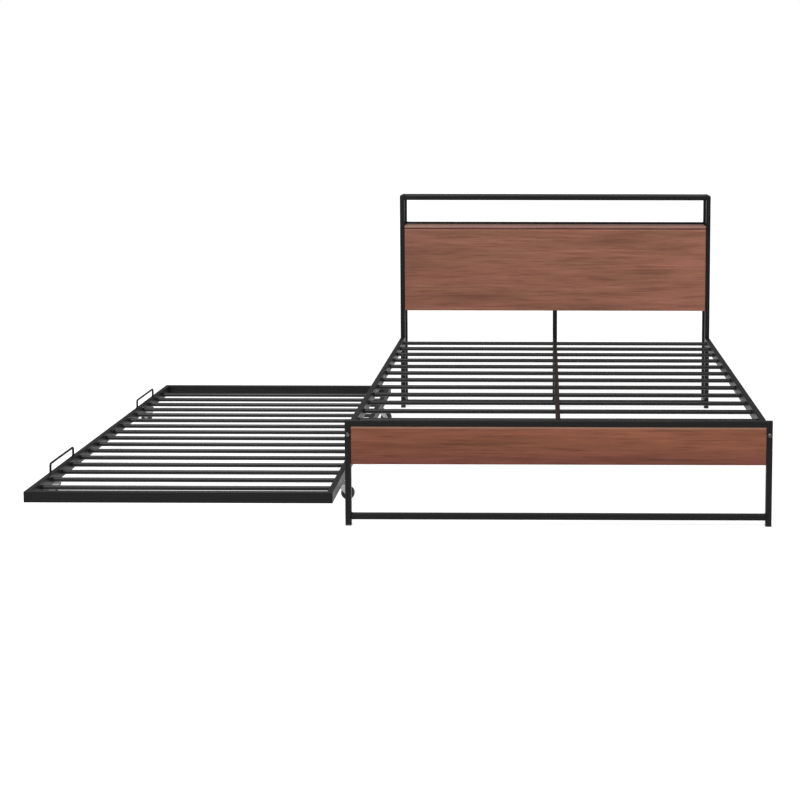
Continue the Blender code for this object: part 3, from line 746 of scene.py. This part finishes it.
def fork(corner, turn, wheel_z):
    """Two cheeks under a dished crown, pressed from one sheet, in place of the CAD fork."""
    bm = bmesh.new()
    for end in (-1, 1):
        place = turn @ Matrix.Translation((0, end * (FORK_INSIDE + FORK_PLATE) / 2, 0)) @ AXLE_WAY
        plate(bm, cheek_outline(wheel_z), FORK_PLATE, place)
    crown = from_fork_top([(0.0044, -0.0020), (0.0085, -0.0020), (0.0128, -0.0024), (0.0150, -0.0026),
                           (0.0156, -0.0016), (0.0152, -0.0006), (0.0138, 0), (0.0122, 0.0001),
                           (0.0112, -0.0002), (0.0044, -0.0002)])
    turned(bm, crown, turn, 64, closed=True)
    item = piece(f"caster_fork_{corner}_pressed", bm, ZINC, f"caster_{corner}")
    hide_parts(f"caster_fork_{corner}")


def race_and_stem(corner, turn, rail_low):
    """The swivel race, the collar above it, the stem up into the rail, and the rivet under the crown."""
    race = from_fork_top([(0.0052, -0.0001), (0.0108, -0.0001), (0.0117, 0.0007), (0.0118, 0.0022),
                          (0.0111, 0.0026), (0.0111, 0.0031), (0.0118, 0.0035), (0.0118, 0.0049),
                          (0.0110, 0.0059), (0.0052, 0.0059)])
    collar = from_fork_top([(0.0051, 0.0060), (0.0074, 0.0060), (0.0078, 0.0064)])
    collar += [(0.0078, rail_low - 0.0007), (0.0074, rail_low - 0.0003), (0.0051, rail_low - 0.0003)]
    stem = from_fork_top([(0.0043, -0.0012), (0.0043, 0.0060), (0.0045, 0.0064)])
    stem += [(0.0045, STEM_TOP - 0.0012), (0.0039, STEM_TOP)]
    rivet = from_fork_top([(0.0030, -0.0052), (0.0052, -0.0044), (0.0060, -0.0032), (0.0060, -0.0024),
                           (0.0040, -0.0010)])
    bm = bmesh.new()
    turned(bm, race, turn, 64, closed=True)
    turned(bm, collar, turn, 48, closed=True)
    turned(bm, stem, turn, 32)
    turned(bm, rivet, turn, 32)
    piece(f"caster_race_{corner}", bm, ZINC, f"caster_{corner}")


def axle_pin(corner, axle):
    """The wheel's pin, with a washer and a domed head on each cheek."""
    outside = FORK_INSIDE / 2 + FORK_PLATE
    pin = [(0.0026, -outside - 0.0010), (0.0030, -outside - 0.0006), (0.0030, outside + 0.0006),
           (0.0026, outside + 0.0010)]
    bm = bmesh.new()
    turned(bm, pin, Matrix.Translation(axle) @ AXLE_WAY, 32)
    for end, axis in ((-1, "-Y"), (1, "+Y")):
        washer(bm, axle + Vector((0, end * outside, 0)), axis, 0.0056, 0.0031, 0.0007)
        button_bolt(bm, axle + Vector((0, end * (outside + 0.0005), 0)), axis, 0.0046, 0.0024, 0.0014)
    piece(f"caster_axle_{corner}", bm, ZINC, f"caster_{corner}")


def caster(corner):
    """One caster. Its fork trails towards the side of the rail that its wheel is on."""
    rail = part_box("trundle_rail_left" if corner.endswith("left") else "trundle_rail_right")
    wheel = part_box(f"caster_wheel_{corner}")
    axle = middle_of(wheel)
    x = middle_of(rail).x
    heading = Matrix.Rotation(0 if axle.x > x else math.pi, 4, "Z")
    turn = Matrix.Translation((x, axle.y, 0)) @ heading
    fork(corner, turn, axle.z)
    race_and_stem(corner, turn, rail[0].z)
    axle_pin(corner, axle)
    wheel_piece(corner, axle, size_of(wheel).y / 2, size_of(wheel).z / 2)


def wheel_piece(corner, axle, half, radius):
    """A moulded wheel: crowned tread with a parting line, ribbed web, and a hub with a plain bore."""
    crown = 0.0042
    shoulder = half - 0.0005
    quarter = [(0.0033, half), (0.0066, half), (0.0073, half - 0.0006), (0.0078, half - 0.0032),
               (0.0158, half - 0.0034), (0.0168, half - 0.0010), (0.0174, shoulder),
               (radius - crown, shoulder)]
    for step in range(1, 7):
        angle = math.radians(90 - 15 * step)
        quarter.append((radius - crown + crown * math.cos(angle), shoulder - crown + crown * math.sin(angle)))
    quarter += [(radius, 0.0003), (radius - 0.0002, 0.0001)]
    profile = quarter + [(r, -h) for r, h in reversed(quarter)]
    place = Matrix.Translation(axle) @ AXLE_WAY
    bm = bmesh.new()
    turned(bm, profile, place, 72, closed=True)
    for number in range(WHEEL_RIBS):
        turn = Matrix.Rotation(2 * math.pi * number / WHEEL_RIBS + 0.3, 4, "Z")
        for end in (-1, 1):
            along = Matrix.Translation((0.0118, 0, end * (half - RIB_SIZE[2])))
            rounded_box(bm, RIB_SIZE, place @ turn @ along, 0.0004)
    item = piece(f"caster_wheel_{corner}_moulded", bm, NYLON, f"wheel_{corner}")
    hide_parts(f"caster_wheel_{corner}")


# ---------------------------------------------------------------- studio
# The place is in metres from the floor under the middle of the foot's top rail, and the angles in radians.
CAMERA_FROM_FOOT = Vector((-0.0446, -5.0259, 1.3971))
CAMERA_YAW = -0.0069
CAMERA_PITCH = 0.087
CAMERA_ROLL = 0.0012
LENS = 69.75
SHIFT = (-0.1683, -0.2031)
FLOOR_REACH = 60


def build_camera():
    """The photo's view: level lines stay level through a lens shift."""
    data = bpy.data.cameras.new("camera")
    data.sensor_width = 36.0
    data.lens = LENS
    data.shift_x, data.shift_y = SHIFT
    data.clip_end = 200
    camera = bpy.data.objects.new("camera", data)
    ahead = Vector((math.sin(CAMERA_YAW) * math.cos(CAMERA_PITCH),
                    math.cos(CAMERA_YAW) * math.cos(CAMERA_PITCH), -math.sin(CAMERA_PITCH)))
    roll = Matrix.Rotation(CAMERA_ROLL, 3, "Z").to_quaternion()
    camera.rotation_euler = (ahead.to_track_quat("-Z", "Y") @ roll).to_euler()
    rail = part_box("foot_top_rail")
    camera.location = Vector((middle_of(rail).x, rail[0].y, 0)) + CAMERA_FROM_FOOT
    bpy.context.scene.collection.objects.link(camera)
    bpy.context.scene.camera = camera


def build_floor():
    """A pale floor that gives some light of its own, so that shadows on it are weak."""
    bm = bmesh.new()
    bmesh.ops.create_grid(bm, x_segments=8, y_segments=8, size=FLOOR_REACH)
    mesh = bpy.data.meshes.new("studio_floor")
    bm.to_mesh(mesh)
    bm.free()
    floor = bpy.data.objects.new("studio_floor", mesh)
    paint = Shader("studio_floor", (0.28, 0.28, 0.28), 0.9, Specular_IOR_Level=0.1,
                   Emission_Color=(1, 1, 1, 1), Emission_Strength=0.80)
    mesh.materials.append(paint.material)
    bpy.context.scene.collection.objects.link(floor)


def add_sun(name, direction, strength, spread):
    """A sun that shines along direction; spread is its angle in degrees."""
    data = bpy.data.lights.new(name, "SUN")
    data.energy = strength
    data.angle = math.radians(spread)
    lamp = bpy.data.objects.new(name, data)
    lamp.rotation_euler = Vector(direction).to_track_quat("-Z", "Y").to_euler()
    bpy.context.scene.collection.objects.link(lamp)


def add_panel_light(name, place, size, power):
    """A soft box that hangs over the object and faces down."""
    data = bpy.data.lights.new(name, "AREA")
    data.shape = "RECTANGLE"
    data.size, data.size_y = size
    data.energy = power
    lamp = bpy.data.objects.new(name, data)
    lamp.location = place
    lamp.visible_camera = False
    bpy.context.scene.collection.objects.link(lamp)


def build_world():
    """White where the camera sees it. Its soft light is stronger from behind the headboard."""
    world = bpy.data.worlds.new("studio")
    bpy.context.scene.world = world
    world.use_nodes = True
    tree = world.node_tree
    tree.nodes.clear()
    seen = tree.nodes.new("ShaderNodeBackground")
    seen.inputs["Color"].default_value = (1, 1, 1, 1)
    seen.inputs["Strength"].default_value = 1.0
    place = tree.nodes.new("ShaderNodeTexCoord")
    split = tree.nodes.new("ShaderNodeSeparateXYZ")
    tree.links.new(place.outputs["Generated"], split.inputs["Vector"])
    ramp = tree.nodes.new("ShaderNodeMapRange")
    for socket, value in (("From Min", -0.6), ("From Max", 0.8), ("To Min", 0.15), ("To Max", 0.26)):
        ramp.inputs[socket].default_value = value
    tree.links.new(split.outputs["Y"], ramp.inputs["Value"])
    soft = tree.nodes.new("ShaderNodeBackground")
    tree.links.new(ramp.outputs["Result"], soft.inputs["Strength"])
    path = tree.nodes.new("ShaderNodeLightPath")
    mix = tree.nodes.new("ShaderNodeMixShader")
    tree.links.new(path.outputs["Is Camera Ray"], mix.inputs["Fac"])
    tree.links.new(soft.outputs["Background"], mix.inputs[1])
    tree.links.new(seen.outputs["Background"], mix.inputs[2])
    output = tree.nodes.new("ShaderNodeOutputWorld")
    tree.links.new(mix.outputs["Shader"], output.inputs["Surface"])


def build_lamps():
    add_sun("key", (0.30, 0.62, -0.85), 2.6, 50)
    add_sun("fill", (-0.35, 0.75, -0.70), 1.0, 70)
    add_sun("rear_fill", (0.1, -0.5, -0.85), 0.5, 40)
    add_panel_light("over_trundle", (-1.0, -0.3, 1.6), (0.9, 1.8), 26)


bpy.context.scene.view_settings.view_transform = "Standard"
build_camera()
build_floor()
build_world()
build_lamps()
coat_nodes()
slats("bed_slat", BED, "bed")
slats("trundle_slat", TRUNDLE, "trundle")
bed_fasteners()
frame_seams()
post_caps()
tube_welds()
panel_fixings()
shelf_painted_shadow_strip()
handles()
for caster_corner in CORNERS:
    caster(caster_corner)
